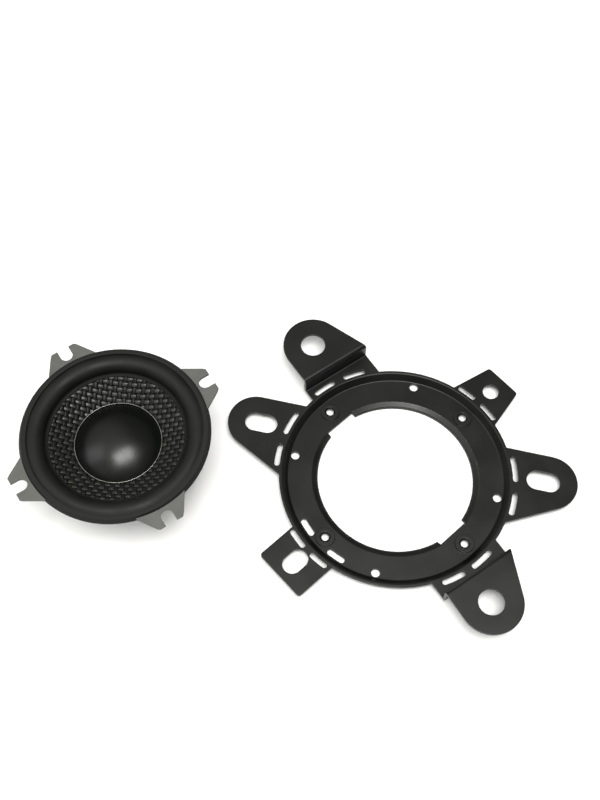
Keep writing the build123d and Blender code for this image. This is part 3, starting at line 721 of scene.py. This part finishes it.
def spider():
    """Corrugated cloth disc between the former and the basket's shelf."""
    outer = span_r("spider")
    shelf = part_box("spider")[0].z / MM + 0.6
    inner = COIL_R + 0.3
    flat = outer - 2.5
    waves, rise, cloth_wall = 3, 0.55, 0.3
    steps = 90
    top = []
    for k in range(steps + 1):
        share = k / steps
        r = inner + 0.9 + share * (flat - inner - 0.9)
        fade = min(share * 6, (1 - share) * 6, 1)
        top.append((r, shelf + 0.36 + rise * fade * math.sin(2 * math.pi * waves * share)))
    bottom = [(r, z - cloth_wall) for r, z in top]
    collar = [(inner, shelf + 0.75), (inner + 0.35, shelf + 0.75), (inner + 0.45, shelf + 0.45)]
    outline = collar + top + [(outer, shelf + 0.36), (outer, shelf + 0.04)] + bottom[::-1]
    outline += [(inner + 0.45, shelf - 0.3), (inner, shelf - 0.4)]
    piece = lathe("spider_cloth", outline, 240)
    assign(piece, SPIDER_CLOTH)
    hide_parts("spider")
    radial_blend(piece, flat, inner + 0.5)


# ------------------------------------------------------------------ leads
STRANDS = 3
STRAND_R = 0.19
STRAND_SIDES = 8
TWIST_LENGTH = 1.9
LINE_POINTS = 14


def lead_path(node, name):
    """Smooth centreline of a CAD lead, from the middles of slices of its mesh."""
    points = [v.co / MM for v in nodes[node].data.vertices]
    middle = Vector((AXIS_X, AXIS_Y, 0))
    far = max(points, key=lambda p: (p - middle).to_2d().length)
    near = min(points, key=lambda p: (p - middle).to_2d().length)
    outward = (far - near).to_2d().normalized()
    reach = (far - near).to_2d().length
    slices = [[] for _ in range(LINE_POINTS)]
    for p in points:
        share = (p - near).to_2d().dot(outward) / reach
        slices[min(max(int(share * LINE_POINTS), 0), LINE_POINTS - 1)].append(p)
    line = [sum(part, Vector()) / len(part) for part in slices if part]
    curve = bpy.data.curves.new(name + "_line", "CURVE")
    curve.dimensions = "3D"
    spline = curve.splines.new("NURBS")
    spline.points.add(len(line) - 1)
    for point, place in zip(spline.points, line):
        point.co = (*(place * MM), 1)
    spline.order_u = 4
    spline.use_endpoint_u = True
    spline.resolution_u = 8
    holder = bpy.data.objects.new(name + "_line", curve)
    bpy.context.scene.collection.objects.link(holder)
    sampled = bpy.data.meshes.new_from_object(holder)
    path = [v.co / MM for v in sampled.vertices]
    bpy.data.objects.remove(holder)
    bpy.data.meshes.remove(sampled)
    return path


def lead(node, name):
    """Three twisted strands along the CAD lead's own centreline."""
    path = lead_path(node, name)
    length = 0.0
    frames = []
    for k, p in enumerate(path):
        ahead = (path[min(k + 1, len(path) - 1)] - path[max(k - 1, 0)]).normalized()
        a = ahead.cross(Vector((0, 0, 1))).normalized()
        b = ahead.cross(a)
        if k:
            length += (p - path[k - 1]).length
        frames.append((p, a, b, length))
    verts, faces = [], []
    for s in range(STRANDS):
        start = len(verts)
        for p, a, b, along in frames:
            turn = 2 * math.pi * (along / TWIST_LENGTH + s / STRANDS)
            centre = p + (a * math.cos(turn) + b * math.sin(turn)) * STRAND_R * 1.08
            for k in range(STRAND_SIDES):
                t = 2 * math.pi * k / STRAND_SIDES
                verts.append(tuple(centre + (a * math.cos(t) + b * math.sin(t)) * STRAND_R))
        for i in range(len(frames) - 1):
            here = start + i * STRAND_SIDES
            after = here + STRAND_SIDES
            for k in range(STRAND_SIDES):
                j = (k + 1) % STRAND_SIDES
                faces.append((here + k, here + j, after + j, after + k))
        last = start + (len(frames) - 1) * STRAND_SIDES
        faces.append(tuple(start + k for k in reversed(range(STRAND_SIDES))))
        faces.append(tuple(last + k for k in range(STRAND_SIDES)))
    piece = new_mesh(name, verts, faces)
    assign(piece, BRAID)
    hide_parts(node)
    radii = [math.hypot(v[0] - AXIS_X, v[1] - AXIS_Y) for v in verts]
    radial_blend(piece, max(radii) - 0.5, min(radii) + 0.5)


rim_gasket()
surround()
woven_cone()
dust_cap()
coil_former()
coil_winding()
spider()
lead("lead_wide", "braid_wide")
lead("lead_narrow", "braid_narrow")

# ------------------------------------------------------------------ floor, lights, camera
FLOOR_HALF = 6000
CAMERA_PLACE = (0.03329, -0.17159, 0.40232)
CAMERA_RIGHT = Vector((0.9746, 0.2241, 0.0))
CAMERA_AHEAD = Vector((-0.1006, 0.4374, -0.8936))


def floor():
    """Plain pale table under the object."""
    half = FLOOR_HALF
    points = [(-half, -half, 0), (half, -half, 0), (half, half, 0), (-half, half, 0)]
    piece = new_mesh("table", points, [(0, 1, 2, 3)], smooth=False)
    finish = Finish("pale_table", (0.93, 0.93, 0.93), 0.8)
    assign(piece, finish.material)


def area_light(name, place, target, size, radiance, colour=(1, 1, 1)):
    """Rectangular soft light, set by its brightness as seen in a reflection."""
    data = bpy.data.lights.new(name, "AREA")
    data.shape = "RECTANGLE"
    data.size, data.size_y = size
    data.energy = radiance * math.pi * size[0] * size[1]
    data.color = colour
    lamp = bpy.data.objects.new(name, data)
    lamp.location = place
    lamp.rotation_euler = (Vector(target) - Vector(place)).to_track_quat("-Z", "Y").to_euler()
    bpy.context.scene.collection.objects.link(lamp)


def camera():
    """Camera at the viewing angle of a product picture taken from above."""
    data = bpy.data.cameras.new("camera")
    data.sensor_width = 36
    data.lens = 51.0
    data.shift_x = 0.0070
    data.shift_y = -0.0034
    data.clip_start = 0.01
    data.clip_end = 20
    holder = bpy.data.objects.new("camera", data)
    above = CAMERA_RIGHT.cross(CAMERA_AHEAD)
    basis = Matrix((CAMERA_RIGHT, above, -CAMERA_AHEAD)).transposed().to_4x4()
    holder.matrix_world = Matrix.Translation(CAMERA_PLACE) @ basis
    bpy.context.scene.collection.objects.link(holder)
    bpy.context.scene.camera = holder


floor()
aim = Vector((AXIS_X * MM, AXIS_Y * MM, 0.03))
key_place = aim + Vector((0.18, -0.20, 1.0))
area_light("key_softbox", key_place, aim, (0.62, 0.36), 18.0, (1.0, 0.985, 0.96))
area_light("window_left", aim + Vector((-0.95, -0.30, 0.95)), aim, (0.6, 0.8), 2.0)
world = bpy.data.worlds.new("studio")
world.use_nodes = True
shade = world.node_tree.nodes
join = world.node_tree.links.new
sky = shade["Background"]
sky.inputs["Color"].default_value = (0.985, 1.0, 0.955, 1)
where = shade.new("ShaderNodeTexCoord").outputs["Generated"]


def sky_ramp(direction, low, high, start, end):
    """Sky level that grows towards one direction."""
    toward = shade.new("ShaderNodeVectorMath")
    toward.operation = "DOT_PRODUCT"
    toward.inputs[1].default_value = Vector(direction).normalized()
    join(where, toward.inputs[0])
    level = shade.new("ShaderNodeMapRange")
    for key, value in zip(RANGE_SOCKETS, (low, high, start, end)):
        level.inputs[key].default_value = value
    join(toward.outputs["Value"], level.inputs["Value"])
    return level.outputs["Result"]


product = shade.new("ShaderNodeMath")
product.operation = "MULTIPLY"
join(sky_ramp((-0.62, -0.10, 0.74), 0.45, 0.82, 0.30, 1.0), product.inputs[0])
join(sky_ramp((0.0, 0.0, 1.0), 0.30, 0.85, 0.55, 1.0), product.inputs[1])
join(product.outputs["Value"], sky.inputs["Strength"])
bpy.context.scene.world = world
bpy.context.scene.view_settings.view_transform = "Standard"
camera()

bpy.context.view_layer.update()
